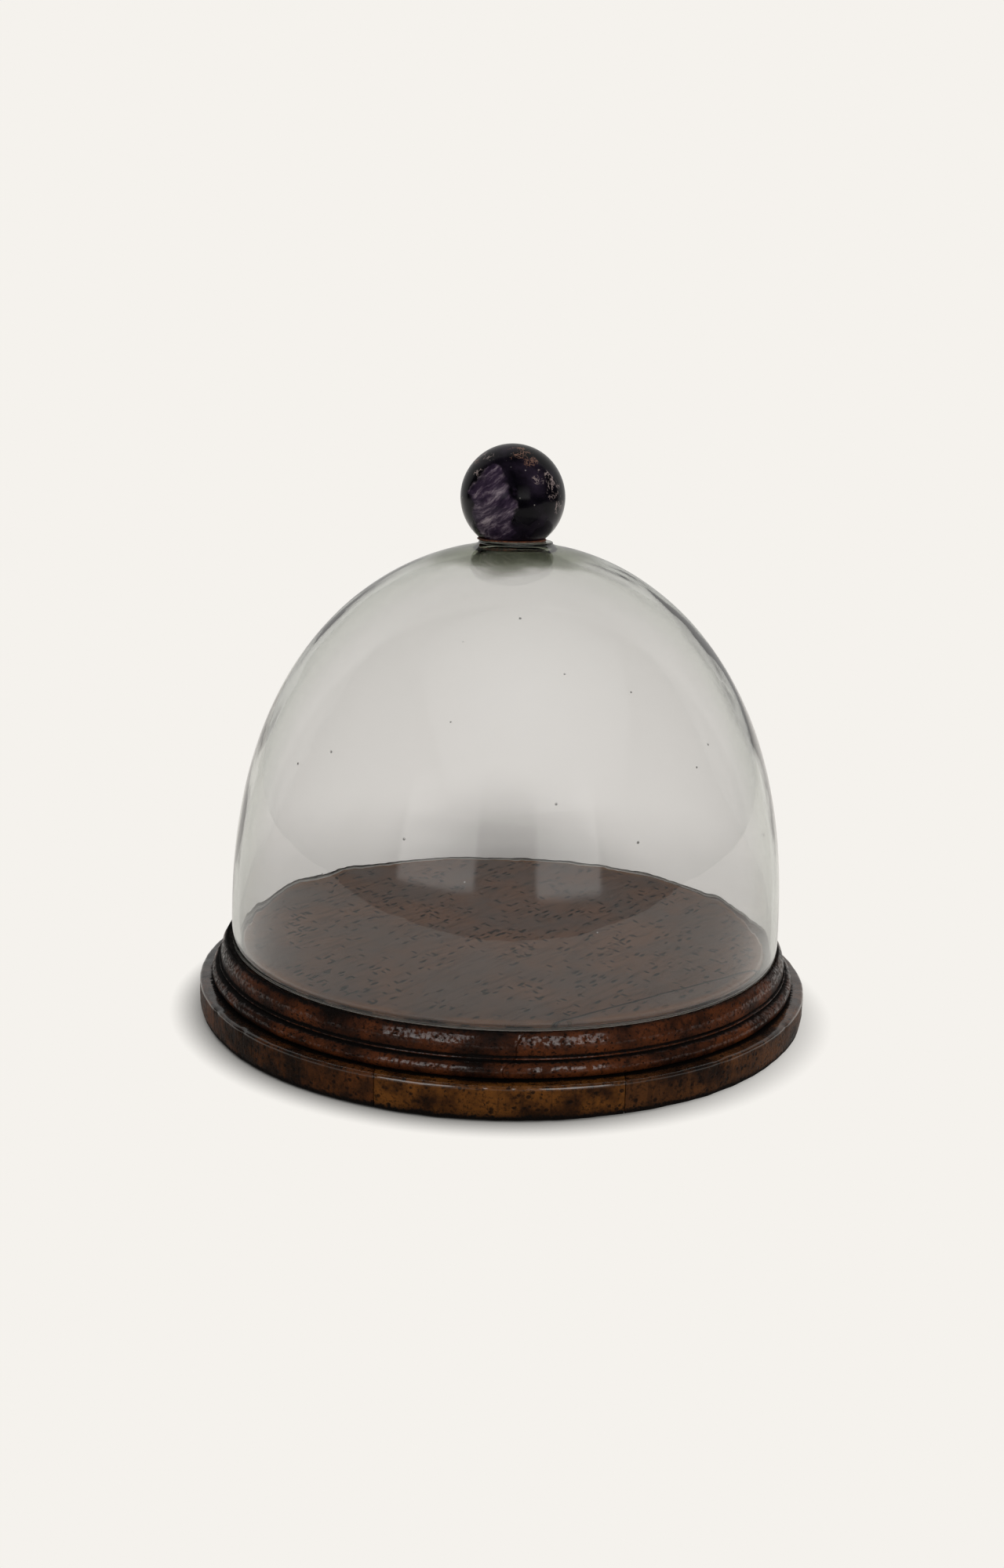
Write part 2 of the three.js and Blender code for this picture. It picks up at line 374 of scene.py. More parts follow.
# %% [markdown]
# ### The platform
# One turned surface carries two finishes. The platform under the glass is dull, dry and grey-brown, full
# of short dark pores that lean both ways, because it was never varnished as often as the rest. Its edge
# is rubbed to a warm shine, and the joint between its two boards is a dark hairline.

# %% Finish of the platform
JOINT_TURN = math.radians(-51.7)
JOINT_DISTANCE = 121 * MM
joint_way = Vector((math.cos(JOINT_TURN), math.sin(JOINT_TURN), 0))
GRAIN_TURN = -52
RUBBED_FROM, RUBBED_TO = 131, 136.5
SHINY_FROM, SHINY_TO = 135.6, 136.6


def platform_finish():
    material, shader, place = new_material(
        "platform_wood", Specular_IOR_Level=0.05, Coat_Roughness=0.12, Coat_IOR=CLEAR_COAT)
    radius = use_group(turned_place, Vector=place)["Radius"]
    level = vector_calc("MULTIPLY", place, (1, 1, 0))[0]
    figure = clouds(slanted(level, (0, 0, GRAIN_TURN), (45, 300, 1)), 1.0, 5.0)[0]
    cloudy = clouds(level, 22.0, 5.0)[0]
    bare = blend_colour(map_value(cloudy, 0.36, 0.66), seen(74, 58, 51), seen(96, 71, 58))
    bare = blend_colour(map_value(figure, 0.42, 0.7, 0, 0.5), bare, seen(42, 34, 32))
    dashes = use_group(pores, Vector=level, Grain_turn=-60.0, Length=10.0, Width=3.4, Share=0.5,
                       Cluster=30.0)["Mask"]
    crossing = use_group(pores, Vector=level, Grain_turn=55.0, Length=8.5, Width=3.0, Share=0.34,
                         Cluster=45.0)["Mask"]
    marks = calc("MAXIMUM", dashes, crossing)
    bare = paint(bare, marks, 0.95, seen(6, 5, 7))
    rubbed = times(map_value(radius, RUBBED_FROM, RUBBED_TO), map_value(cloudy, 0.3, 0.55))
    bare = paint(bare, rubbed, 0.7, seen(112, 72, 42))
    across_joint = vector_calc("DOT_PRODUCT", place, joint_way)["Value"]
    off_joint = calc("ABSOLUTE", calc("SUBTRACT", across_joint, JOINT_DISTANCE))
    seam = map_value(off_joint, 0.3 * MM, 1.1 * MM, 1, 0)
    height = calc("MULTIPLY_ADD", marks, -1.0, times(figure, 0.4))
    plug(shader.inputs, {
        "Base Color": paint(bare, seam, 0.9, seen(10, 8, 7)),
        "Roughness": map_value(cloudy, 0.3, 0.7, 0.5, 0.7),
        "Coat Weight": map_value(radius, SHINY_FROM, SHINY_TO, 0, 0.6),
        "Normal": bump(height, 0.4 * MM, 0.6)})
    return material


platform_wood = platform_finish()
print("finish:", platform_wood.name)

# %% [markdown]
# ### The moulding
# Outside the platform lies glossy red-brown varnish, with black wax in the angles between the members and
# hundreds of nicks. The wax is a ramp over the height in millimetres, and the side away from the windows
# is darkened further with painted shade. The upper half of each member is polished and shines, and its
# lower half is dull with wax, which a second ramp says.

# %% Finish of the moulding
WAX_BY_HEIGHT = ((0, 1.0), (40, 1.0), (17.8, 0.9), (18.8, 0.3), (20, 0.1), (24.4, 0.12), (25.6, 0.85),
                 (26.6, 0.2), (27.2, 0.85), (28.4, 0.3), (30, 0.1), (36, 0.12), (38, 0.6))
SHINE_BY_HEIGHT = ((0, 0.0), (40, 0.6), (21, 0.0), (21.8, 1.0), (26.8, 1.0), (28, 0.0), (30.8, 0.05),
                   (32.4, 1.0), (36, 1.0), (38, 0.6))
SHINE = 0.62


def moulding_finish():
    material, shader, place = new_material(
        "moulding_wood", Specular_IOR_Level=0.03, Coat_Roughness=0.09, Coat_IOR=CLEAR_COAT)
    where = use_group(turned_place, Vector=place)
    # The side away from the windows is darker and duller: painted shade, added to the wax.
    wax_and_side_shade = calc("ADD", height_ramp(where["Height"], *WAX_BY_HEIGHT),
               map_value(where["Turn"], -70, 10, 0.28, 0.0))
    varnish = use_group(old_varnish, Vector=place, Dark=seen(14, 9, 7), Middle=seen(44, 22, 12),
                        Light=seen(82, 42, 20), Cloud=26.0, Grime=wax_and_side_shade)
    nicks = use_group(pores, Vector=place, Grain_turn=20.0, Length=3.2, Width=1.5, Share=0.35,
                      Cluster=20.0)["Mask"]
    fleck = map_value(clouds(place, 620.0, 4.0)[0], 0.4, 0.62)
    shine = times(height_ramp(where["Height"], *SHINE_BY_HEIGHT), SHINE)
    rise = calc("MULTIPLY_ADD", nicks, -0.9, varnish["Peel"])
    plug(shader.inputs, {
        "Base Color": paint(varnish["Color"], nicks, 0.75, seen(12, 8, 7)),
        "Roughness": calc("MULTIPLY_ADD", varnish["Grime"], 0.3, 0.4),
        "Coat Weight": times(fleck, rest_of(nicks), rest_of(varnish["Grime"]), shine),
        "Normal": bump(rise, 0.5 * MM, 0.6)})
    return material


moulding_wood = moulding_finish()
print("finish:", moulding_wood.name)

# %% [markdown]
# ### The plinth boards
# The plain band shows the ends of three boards. The middle one is orange and mottled, the outer two are
# darker, with strokes that stand upright. Its foot is black where years of polish and dirt gathered, and
# the upper edge is rubbed. One function makes all three, and each board gets its own tones.

# %% Finish of the plinth boards
DIRT_BY_HEIGHT = ((0, 1.0), (20, 0.2), (2, 0.8), (4, 0.42), (6.8, 0.2), (14, 0.16), (16, 0.1), (17.2, 0.2))
EDGE_FROM, EDGE_TO = 15.4, 16.2
UPRIGHT_STRETCH = (420, 420, 55)


def plinth_finish(name, dark, middle, light, stroke):
    material, shader, place = new_material(
        name, Specular_IOR_Level=0.03, Coat_Roughness=0.12, Coat_IOR=CLEAR_COAT)
    where = use_group(turned_place, Vector=place)
    # Dirt lies at the foot. The flat top where the moulding stands is darker and duller: painted shade in the
    # angle under the bead.
    dirt_and_ledge_shade = calc("ADD", height_ramp(where["Height"], *DIRT_BY_HEIGHT),
                map_value(where["Radius"], 156, 153, 0, 0.6))
    varnish = use_group(old_varnish, Vector=place, Dark=dark, Middle=middle, Light=light,
                        Cloud=24.0, Grime=dirt_and_ledge_shade)
    upright = vector_calc("MULTIPLY", place, UPRIGHT_STRETCH)[0]
    strokes = map_value(clouds(upright, 1.0, 4.0)[0], 0.52, 0.7, 0, stroke)
    colour = blend_colour(strokes, varnish["Color"], seen(22, 14, 11))
    holes = use_group(pores, Vector=place, Grain_turn=0.0, Length=3.6, Width=3.2, Share=0.6,
                      Cluster=9.0)["Mask"]
    edge = map_value(where["Height"], EDGE_FROM, EDGE_TO)
    rise = calc("MULTIPLY_ADD", holes, -0.6, varnish["Peel"])
    rise = calc("MULTIPLY_ADD", strokes, -0.5, rise)
    plug(shader.inputs, {
        "Base Color": paint(colour, holes, 0.8, seen(14, 9, 7)),
        "Roughness": calc("MULTIPLY_ADD", varnish["Grime"], 0.3, 0.4),
        "Coat Weight": times(edge, rest_of(varnish["Grime"])),
        "Normal": bump(rise, 0.6 * MM, 0.6)})
    return material


PLINTH_TONES = {
    "plinth_board_left": (seen(13, 9, 7), seen(40, 24, 14), seen(80, 45, 21), 0.8),
    "plinth_board_middle": (seen(12, 8, 6), seen(50, 28, 13), seen(102, 62, 25), 0.4),
    "plinth_board_right": (seen(13, 9, 7), seen(44, 26, 15), seen(78, 47, 24), 0.4),
}
plinth_woods = {name: plinth_finish(f"{name}_wood", *tones) for name, tones in PLINTH_TONES.items()}
print("finishes:", len(plinth_woods), "plinth boards")

# %% [markdown]
# ### Blown glass
# Glass is a Principled shader with full transmission. A faint smoky absorption inside the wall shows where
# the wall is thick. Seen edge on, light crosses more glass, so a ramp over the facing deepens the tint
# from clear to smoky green. A lamp's shadow rays would stop at a refracting surface, so a Light Path switch
# lets them straight through; otherwise the wood under the dome would sit in darkness.

# %% Finish of the glass
CROWN_GREEN_AND_REFLECTION = (0.31, 0.33, 0.26, 1)
CROWN_REACH = (52, 34)
CROWN_HEIGHT = (226, 232)
BUTTON_EDGE = (17, 21)
GROUND_RIM_SHADE = (0.3, 0.28, 0.26, 1)
GROUND_FROM, GROUND_TO = 1.2, 0.5


def glass_finish():
    material, shader, place = new_material("blown_glass", IOR=1.47, Transmission_Weight=1.0)
    tree = material.node_tree
    facing = add("LayerWeight", {"Blend": 0.5}, tree).outputs["Facing"]
    tint = ramp(facing, (0.55, (0.95, 0.94, 0.946, 1)), (0.74, (0.84, 0.85, 0.82, 1)),
                (0.9, (0.5, 0.52, 0.48, 1)))
    # The thick crown round the button is dark bottle green, with an uneven border, and less dark over the
    # button.
    # Part of this darkness is a painted reflection of the dark ball mirrored in the thick glass.
    where = use_group(turned_place, Vector=place)
    drift = calc("SUBTRACT", clouds(place, 22.0, 2.0)[0], 0.5)
    reach = calc("MULTIPLY_ADD", drift, 50, where["Radius"])
    crown_and_reflection = times(map_value(reach, *CROWN_REACH), map_value(where["Height"], *CROWN_HEIGHT),
                  map_value(where["Radius"], *BUTTON_EDGE, 0.35, 1))
    tint = blend_colour(crown_and_reflection, tint, CROWN_GREEN_AND_REFLECTION, "MULTIPLY")
    # The ground rim is matt, and its dark grey colour is painted shade where it stands in the ledge.
    rim = GLASS_RIM / MM
    ground = map_value(where["Height"], rim + GROUND_FROM, rim + GROUND_TO)
    ripples = clouds(vector_calc("MULTIPLY", place, (60, 60, 100))[0], 1.0, 2.0)[0]
    plug(shader.inputs, {"Base Color": blend_colour(ground, tint, GROUND_RIM_SHADE),
                         "Roughness": times(ground, 0.4),
                         "Normal": bump(ripples, 0.03 * MM)})
    clear = add("BsdfTransparent", {"Color": (0.82, 0.82, 0.81, 1)}, tree)
    is_shadow = add("LightPath", tree=tree).outputs["Is Shadow Ray"]
    switch = add("MixShader", {0: is_shadow, 1: shader.outputs[0], 2: clear.outputs[0]})
    smoke = add("VolumeAbsorption", {"Color": (0.75, 0.77, 0.745, 1), "Density": 80.0}, tree)
    plug(tree.nodes["Material Output"].inputs, {"Surface": switch.outputs[0], "Volume": smoke.outputs[0]})
    return material


glass = glass_finish()
print("finish:", glass.name)

# %% [markdown]
# ### Amethyst
# The ball is so dark that it is nearly black, with a cloudy lavender patch full of feathery cracks on one
# side and thin rusty veins where iron got in. The polish is smooth over a pattern that is built from the
# inside out: body colour, cloud, feathers, veins, specks.

# %% Finish of the stone
def on_ball(right, up):
    """A place on the front of the ball, in shares of its radius to the right of and above its middle."""
    above = Vector((0, math.sin(CAMERA_ELEVATION), math.cos(CAMERA_ELEVATION)))
    depth = math.sqrt(1 - right * right - up * up)
    return BALL_CENTRE + (Vector((right, 0, 0)) + above * up + towards * depth) * BALL_RADIUS


# Each flaw: place to the right and up, and size across, deep and high in shares.
RUSTY_FLAWS = [((0.12, 0.7), (0.24, 0.5, 0.12)), ((0.3, 0.54), (0.16, 0.4, 0.12)),
               ((-0.7, 0.58), (0.12, 0.3, 0.06))]
MILKY_FLAWS = [((0.56, 0.24), (0.22, 0.5, 0.16)), ((0.76, 0.06), (0.16, 0.4, 0.22)),
               ((0.86, -0.2), (0.08, 0.4, 0.2)), ((-0.68, 0.33), (0.16, 0.3, 0.07)),
               ((-0.52, 0.64), (0.24, 0.3, 0.08))]
# Each part of the cloud: place, size in metres, how ragged it is, and the scale of its border.
CLOUD_PARTS = [((-0.42, -0.3), (0.012, 0.02, 0.017), 0.8, 120.0),
               ((-0.3, -0.72), (0.01, 0.02, 0.007), 0.8, 160.0),
               ((-0.38, 0.24), (0.005, 0.01, 0.006), 0.7, 200.0)]
STONE_BEND = 8 * MM
FEATHER_LEAN = 38


def spots_mask(place, spots):
    """One mask with all the spots: each is (place on the ball, size, ragged, grain)."""
    whole = None
    for where, size, ragged, grain in spots:
        one = use_group(spot, Vector=place, Centre=on_ball(*where), Size=size, Ragged=ragged,
                        Grain=grain)["Mask"]
        whole = one if whole is None else calc("MAXIMUM", whole, one)
    return whole


def crackle(place, scale, thick):
    """Thin bright lines along the borders of Voronoi cells."""
    edge = add("TexVoronoi", {"Vector": place, "Scale": scale},
               feature="DISTANCE_TO_EDGE").outputs["Distance"]
    return map_value(edge, 0.0, thick, 1, 0)


def amethyst_finish():
    material, shader, place = new_material("polished_amethyst", Specular_IOR_Level=0.12)
    bend = clouds(place, 75.0, 5.0)["Color"]
    bent = vector_calc("MULTIPLY_ADD", bend, (STONE_BEND,) * 3, place)[0]
    depth = map_value(clouds(bent, 50.0, 6.0)[0], 0.42, 0.78)
    body = blend_colour(depth, seen(5, 4, 8), seen(44, 36, 50))
    # The cloud: lavender feathers that lean up to the right, with deep violet between them.
    feather = clouds(slanted(bent, (0, FEATHER_LEAN, 0), (70, 110, 330)), 1.0, 7.0, 0.65)[0]
    milky = ramp(feather, (0.32, seen(24, 18, 32)), (0.48, seen(56, 44, 62)),
                 (0.58, seen(104, 92, 104)), (0.7, seen(168, 156, 162)))
    body = paint(body, spots_mask(place, CLOUD_PARTS), 0.85, milky)
    lines = calc("MAXIMUM", crackle(bent, 170.0, 0.06), crackle(bent, 420.0, 0.1))
    lines = times(lines, map_value(clouds(place, 300.0, 3.0)[0], 0.42, 0.6))
    for flaws, colour in ((RUSTY_FLAWS, seen(126, 94, 80)), (MILKY_FLAWS, seen(158, 142, 140))):
        veined = [(where, Vector(size) * BALL_RADIUS, 0.9, 260.0) for where, size in flaws]
        body = paint(body, times(spots_mask(place, veined), lines), 0.8, colour)
    specks = add("TexVoronoi", {"Vector": place, "Scale": 420.0}).outputs
    odds = add("SeparateColor", {0: specks["Color"]}).outputs[0]
    speck = times(map_value(specks["Distance"], 0.1, 0.22, 1, 0), calc("GREATER_THAN", odds, 0.93))
    plug(shader.inputs, {"Base Color": paint(body, speck, 0.45, seen(170, 164, 160)),
                         "Roughness": map_value(lines, 0.2, 1, 0.14, 0.22),
                         "Normal": bump(times(speck, -1.0), 0.05 * MM, 0.5)})
    return material


amethyst = amethyst_finish()
print("finish:", amethyst.name)

# %% [markdown]
# ### Cement, baize and steel
# The cement is rust red and grainy. The baize under the base is felted wool: a tangle of short fibres.
# The screws are old steel with brown spots. Nobody sees much of these, but the object is a real assembly
# and comes apart.

# %% Finishes of cement, baize and steel
def grainy_finish(name, low, high, scale, rise, roughness, **sockets):
    """A matte substance that varies between two colours in grains of one scale."""
    material, shader, place = new_material(name, **sockets)
    grains = clouds(place, scale, 6.0)[0]
    plug(shader.inputs, {
        "Base Color": blend_colour(map_value(grains, 0.35, 0.65), low, high),
        "Roughness": map_value(grains, 0.3, 0.7, roughness - 0.1, roughness),
        "Normal": bump(grains, rise)})
    return material


def steel_finish():
    material, shader, place = new_material("aged_steel", Metallic=1.0)
    spots = clouds(place, 500.0, 5.0)[0]
    rust = map_value(spots, 0.52, 0.66)
    plug(shader.inputs, {
        "Base Color": blend_colour(rust, seen(150, 146, 140), seen(88, 52, 34)),
        "Roughness": calc("MULTIPLY_ADD", rust, 0.4, 0.35),
        "Normal": bump(spots, 0.1 * MM)})
    return material


cement = grainy_finish("rust_cement", seen(62, 28, 18), seen(128, 72, 44), 900.0, 0.3 * MM, 0.75)
baize = grainy_finish("green_baize", seen(24, 48, 34), seen(52, 84, 60), 700.0, 0.4 * MM, 0.98,
                      Sheen_Weight=0.5, Sheen_Roughness=0.5)
steel = steel_finish()
print("finishes:", cement.name, baize.name, steel.name)

# %% [markdown]
# ## Turning
# A lathe makes a solid of revolution, and Blender's `spin` operator is the same tool: an outline of
# (radius, height) points is swept once round the Z axis. The skin has doubled points on the axis, so they
# are merged, and then the normals are made to point outwards. Outlines are written in millimetres.

# %% Turning helpers
ROUND_STEPS = 480


def arc(radius, height, size, start, end, steps=8):
    """Outline points on part of a circle, with angles in degrees."""
    angles = [math.radians(start + (end - start) * i / steps) for i in range(steps + 1)]
    return [(radius + size * math.cos(a), height + size * math.sin(a)) for a in angles]


def swelling(start, pull, end, steps=12):
    """Outline points on a quadratic curve that is pulled towards a third point."""
    points = []
    for i in range(steps + 1):
        t = i / steps
        points.append(tuple((1 - t) ** 2 * a + 2 * t * (1 - t) * b + t * t * c
                            for a, b, c in zip(start, pull, end)))
    return points


def finer(outline, spacing):
    """The outline with extra points, so that no stretch is longer than the spacing."""
    points = [outline[0]]
    for before, after in zip(outline, outline[1:]):
        count = max(1, math.ceil(math.dist(before, after) / spacing))
        points += [tuple(a + (b - a) * i / count for a, b in zip(before, after)) for i in range(1, count + 1)]
    return points


def turn(outline, steps=ROUND_STEPS):
    """A bmesh skin: the outline, in millimetres, spun once round the Z axis."""
    bm = bmesh.new()
    verts = [bm.verts.new((radius * MM, 0, height * MM)) for radius, height in outline]
    edges = [bm.edges.new(pair) for pair in zip(verts, verts[1:])]
    bmesh.ops.spin(bm, geom=verts + edges, cent=(0, 0, 0), axis=(0, 0, 1), angle=math.tau,
                   steps=steps, use_merge=True)
    bmesh.ops.remove_doubles(bm, verts=bm.verts, dist=0.001 * MM)
    bmesh.ops.recalc_face_normals(bm, faces=bm.faces)
    return bm


def finish_piece(bm, name, materials, body, slot, *nodes):
    """Makes the bmesh an object, smooth and with its materials, that rides on a body in place of nodes."""
    mesh = bpy.data.meshes.new(name)
    bm.to_mesh(mesh)
    bm.free()
    mesh.shade_smooth()
    for material in materials:
        mesh.materials.append(material)
    piece = bpy.data.objects.new(name, mesh)
    bpy.context.scene.collection.objects.link(piece)
    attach(piece, body)
    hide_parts(*nodes)
    print(name, "faces:", len(mesh.polygons))
    return piece


# %% [markdown]
# ## Wear
# Turned wood starts perfect, and a century of use takes small bites out of it. `worn` moves points along
# their normals by layered noise, and `dent` presses a soft hollow into the skin at one place. Real shape
# catches the light and breaks the outline, which a bump in a material can't do.

# %% Wear helpers
def worn(bm, *layers):
    """Moves points along their normals: each layer is (depth in mm, cell size in mm, seed)."""
    bm.normal_update()
    moves = []
    for vert in bm.verts:
        move = 0.0
        for depth, cell, seed in layers:
            move += depth * noise.noise(vert.co / (cell * MM) + Vector((seed, seed, seed)))
        moves.append(vert.normal * move * MM)
    for vert, move in zip(bm.verts, moves):
        vert.co += move


def on_base(turn_degrees, radius, height):
    """A place on the base, from the turn to the right of the front, the radius and the height in mm."""
    angle = math.radians(turn_degrees)
    return Vector((radius * math.sin(angle), -radius * math.cos(angle), height)) * MM


def dent(bm, centre, size, depth):
    """Presses points near a place inwards; size and depth are in millimetres."""
    for vert in bm.verts:
        reach = (vert.co - centre).length / (size * MM)
        if reach < 1:
            vert.co -= vert.normal * depth * MM * (1 - reach * reach) ** 2


def dent_all(bm, dents):
    """Presses in every dent of a list: each is (turn, radius, height, size, depth)."""
    for turn_degrees, radius, height, size, depth in dents:
        dent(bm, on_base(turn_degrees, radius, height), size, depth)


# %% [markdown]
# ## Sawing into boards
# The base was glued up from boards before it was turned. We turn the whole layer, wear it as one, and only
# then saw it along its joints with `bisect_plane`, so that dents and edges run on across a joint. Each cut
# face is closed again with one flat face.

# %% Sawing helper
def sawn(whole, *cuts):
    """A copy of the bmesh without what lies beyond each cut, given as (point, normal)."""
    bm = whole.copy()
    for point, normal in cuts:
        every = bm.verts[:] + bm.edges[:] + bm.faces[:]
        cut = bmesh.ops.bisect_plane(bm, geom=every, plane_co=point, plane_no=normal, clear_outer=True,
                                     dist=0.0001 * MM)
        rim = [item for item in cut["geom_cut"] if isinstance(item, bmesh.types.BMEdge)]
        bmesh.ops.contextual_create(bm, geom=rim)
    return bm


# %% [markdown]
# ## The plinth
# The lower layer is a flat disc with a rounded upper edge, a slightly drawn-in foot, and a shallow recess
# turned into its underside for the baize.

# %% Plinth boards
JOINT_GAP = 0.15
EDGE_ROUND = 1.6
RECESS_ROOM = (0.3, 1)
top_mm, foot_mm, base_mm = PLINTH_TOP / MM, FOOT / MM, BASE_RADIUS / MM
recess_top = baize_high[2] / MM + RECESS_ROOM[0]
recess_radius = baize_high[0] / MM + RECESS_ROOM[1]
plinth_outline = [
    (0, recess_top), (recess_radius, recess_top), (recess_radius, foot_mm), (base_mm - 1.9, foot_mm),
    (base_mm - 1.0, foot_mm + 1.0), (base_mm - 0.4, foot_mm + 3.2), (base_mm, foot_mm + 6),
    *arc(base_mm - EDGE_ROUND, top_mm - EDGE_ROUND, EDGE_ROUND, 0, 90),
    (base_mm - 12, top_mm), (0, top_mm),
]
outer_part = finer(plinth_outline[1:-1], 1.3)
plinth = turn([plinth_outline[0], *outer_part, plinth_outline[-1]])
worn(plinth, (0.35, 38, 3.1), (0.22, 9, 7.7), (0.12, 3.5, 1.3))
# Chips in the band: turn, radius, height, size and depth.
CHIPS = [(-51, 159.5, 16.5, 3.5, 0.8), (-31, 160, 9, 2.5, 0.8), (-30, 159.5, 16.5, 2, 0.6),
         (19, 160, 5, 2.2, 0.5), (-62, 159.5, 16.5, 3, 0.7), (62, 159.5, 16.5, 3, 0.6),
         (40, 159, 17, 6, 0.5), (8, 160, 3, 4, 0.7), (-3, 160, 16.6, 2.4, 0.5), (3, 160, 16.8, 2, 0.5),
         (12, 160, 16.6, 2, 0.4), (-12, 160, 16.8, 2.2, 0.4)]
dent_all(plinth, CHIPS)
left_cut = Vector((-SEAM_X, 0, 0))
right_cut = Vector((SEAM_X, 0, 0))
gap = Vector((2 * JOINT_GAP * MM, 0, 0))
east, west = Vector((1, 0, 0)), Vector((-1, 0, 0))
plinth_cuts = {
    "plinth_board_left": [(left_cut - gap, east)],
    "plinth_board_middle": [(left_cut, west), (right_cut, east)],
    "plinth_board_right": [(right_cut + gap, west)],
}
for name, cuts in plinth_cuts.items():
    finish_piece(sawn(plinth, *cuts), f"{name}_turned", [plinth_woods[name]], "base", "plinth_wood", name)
plinth.free()

# %% [markdown]
# ## The moulded top
# From below: a round bead, a narrow fillet, a tall ovolo that leans in as it rises, the low lip of the
# ledge, the ledge itself, and the raised platform with its rubbed edge. Two boards meet along a line that
# cuts the front right of the platform and slants away across the ovolo.

# %% Top boards
bottom_mm, platform_mm = MOULDING_BOTTOM / MM, PLATFORM_TOP / MM
BEAD_RADIUS = 4.3
BEAD_HEIGHT = 21.3
BEAD_END = 86
bead_middle = BEAD_OUTER / MM - BEAD_RADIUS
bead_start = math.degrees(math.asin((bottom_mm - BEAD_HEIGHT) / BEAD_RADIUS))
FILLET_ROUND = 0.6
FILLET_RADIUS = 149.9
FILLET_HEIGHT = 26.5
FILLET_FOOT, FILLET_TOP = (149.0, 25.8), (148.5, 27.3)
OVOLO_FOOT = (148.8, 27.4)
LIP = (145.8, 38.2)
OVOLO_PULL = (OVOLO_FOOT[0] + 0.9, LIP[1] - 4.7)
LIP_WIDTH = 0.35
LEDGE = 37.3
PLATFORM_RADIUS = 137.3
PLATFORM_ROUND = 1.3
top_outline = [
    (0, bottom_mm), *arc(bead_middle, BEAD_HEIGHT, BEAD_RADIUS, bead_start, BEAD_END, 22),
    FILLET_FOOT, *arc(FILLET_RADIUS - FILLET_ROUND, FILLET_HEIGHT, FILLET_ROUND, -60, 80, 6),
    FILLET_TOP, *swelling(OVOLO_FOOT, OVOLO_PULL, LIP, 20),
    (LIP[0] - LIP_WIDTH, LEDGE), (PLATFORM_RADIUS + 0.2, LEDGE), (PLATFORM_RADIUS, LEDGE + 0.5),
    *arc(PLATFORM_RADIUS - PLATFORM_ROUND, platform_mm - PLATFORM_ROUND, PLATFORM_ROUND, 0, 90, 6),
    (110, platform_mm), (0, platform_mm),
]
outer_part = finer(top_outline[1:-2], 1.2)
top = turn([top_outline[0], *outer_part, *finer(top_outline[-2:], 8)])
worn(top, (0.25, 45, 5.3), (0.16, 10, 2.9), (0.09, 3.2, 8.8))
# Knocks on the bead and the ovolo: turn, radius, height, size and depth.
KNOCKS = [(7, 153.2, 23, 3.4, 0.7), (10.5, 153.3, 22, 3.2, 0.6), (16, 153, 23, 3, 0.5),
          (36, 152, 24.5, 4, 0.8), (-44, 153, 23, 3, 0.5), (-29, 153, 22, 3, 0.5),
          (-12, 153, 22.5, 3, 0.3), (-34, 148, 34, 3.2, 0.4), (2, 148, 32, 3.5, 0.25),
          (24, 147.5, 35, 3, 0.3)]
dent_all(top, KNOCKS)
for face in top.faces:
    middle = face.calc_center_median() / MM
    if math.hypot(middle.x, middle.y) < PLATFORM_RADIUS + 0.1 and middle.z > LEDGE:
        face.material_index = 1
for name, offset, side in (("top_board_wide", -JOINT_GAP, 1), ("top_board_narrow", JOINT_GAP, -1)):
    cut_face = joint_way * (JOINT_DISTANCE + offset * MM)
    finish_piece(sawn(top, (cut_face, joint_way * side)), f"{name}_turned", [moulding_wood, platform_wood],
                 "base", "moulding_wood", name)
top.free()

# %% [markdown]
# ## The glass dome
# A gather of glass was blown, opened and cut off at the rim, so the wall is thin and even in the sides and
# thick at the crown. Its outline is a superellipse, fuller than a circle. The outer and inner faces are
# one closed skin. The rim is ground flat with rounded corners, and a short button stands on the crown.

# %% Glass outline
WALL = 3.5
CROWN = 5.5
ROUNDNESS, FULLNESS = 2.04, 2.4
SHOULDER_TOP = 244.8
RIM_ROUND = 0.8
BUTTON_RADIUS = 18.9
BUTTON_ROUND = 0.9
BUTTON_FLARE = 3.4
GLASS_STEPS = 90
CROWDING = 1.4
rim_mm, glass_mm, button_mm = GLASS_RIM / MM, GLASS_RADIUS / MM, BUTTON_TOP / MM


def closing(share):
    """How much of the dome's radius is left at a share of its rise."""
    return (1 - share ** FULLNESS) ** (1 / ROUNDNESS)


def dome_face(radius, top_height, last_share):
    """Points up one face of the dome, from the rim to a share of the rise, closer near the crown."""
    points = []
    for i in range(GLASS_STEPS + 1):
        share = 1 - (1 - last_share * i / GLASS_STEPS) ** CROWDING
        points.append((radius * closing(share), rim_mm + (top_height - rim_mm) * share))
    return points


outer_face = [p for p in dome_face(glass_mm, SHOULDER_TOP, 0.95)
              if p[0] > BUTTON_RADIUS + BUTTON_FLARE and p[1] > rim_mm + 2]
inner_face = [p for p in dome_face(glass_mm - WALL, SHOULDER_TOP - CROWN, 0.98) if p[1] > rim_mm + 2]
rim_outline = finer([
    inner_face[0], *arc(glass_mm - WALL + RIM_ROUND, rim_mm + RIM_ROUND, RIM_ROUND, 180, 270, 6),
    *arc(glass_mm - RIM_ROUND, rim_mm + RIM_ROUND, RIM_ROUND, -90, 0, 6), outer_face[0]], 0.6)
button_foot = (BUTTON_RADIUS, SHOULDER_TOP - 0.6)
button_outline = [
    *swelling(outer_face[-1], (BUTTON_RADIUS + 0.6, SHOULDER_TOP - 1.5), button_foot, 8),
    *arc(BUTTON_RADIUS - BUTTON_ROUND, button_mm - BUTTON_ROUND, BUTTON_ROUND, 20, 90, 6),
    (BUTTON_RADIUS - 4, button_mm), (0, button_mm)]
glass_outline = [(0, SHOULDER_TOP - CROWN), *reversed(inner_face[1:]), *rim_outline, *outer_face[1:-1],
                 *button_outline]
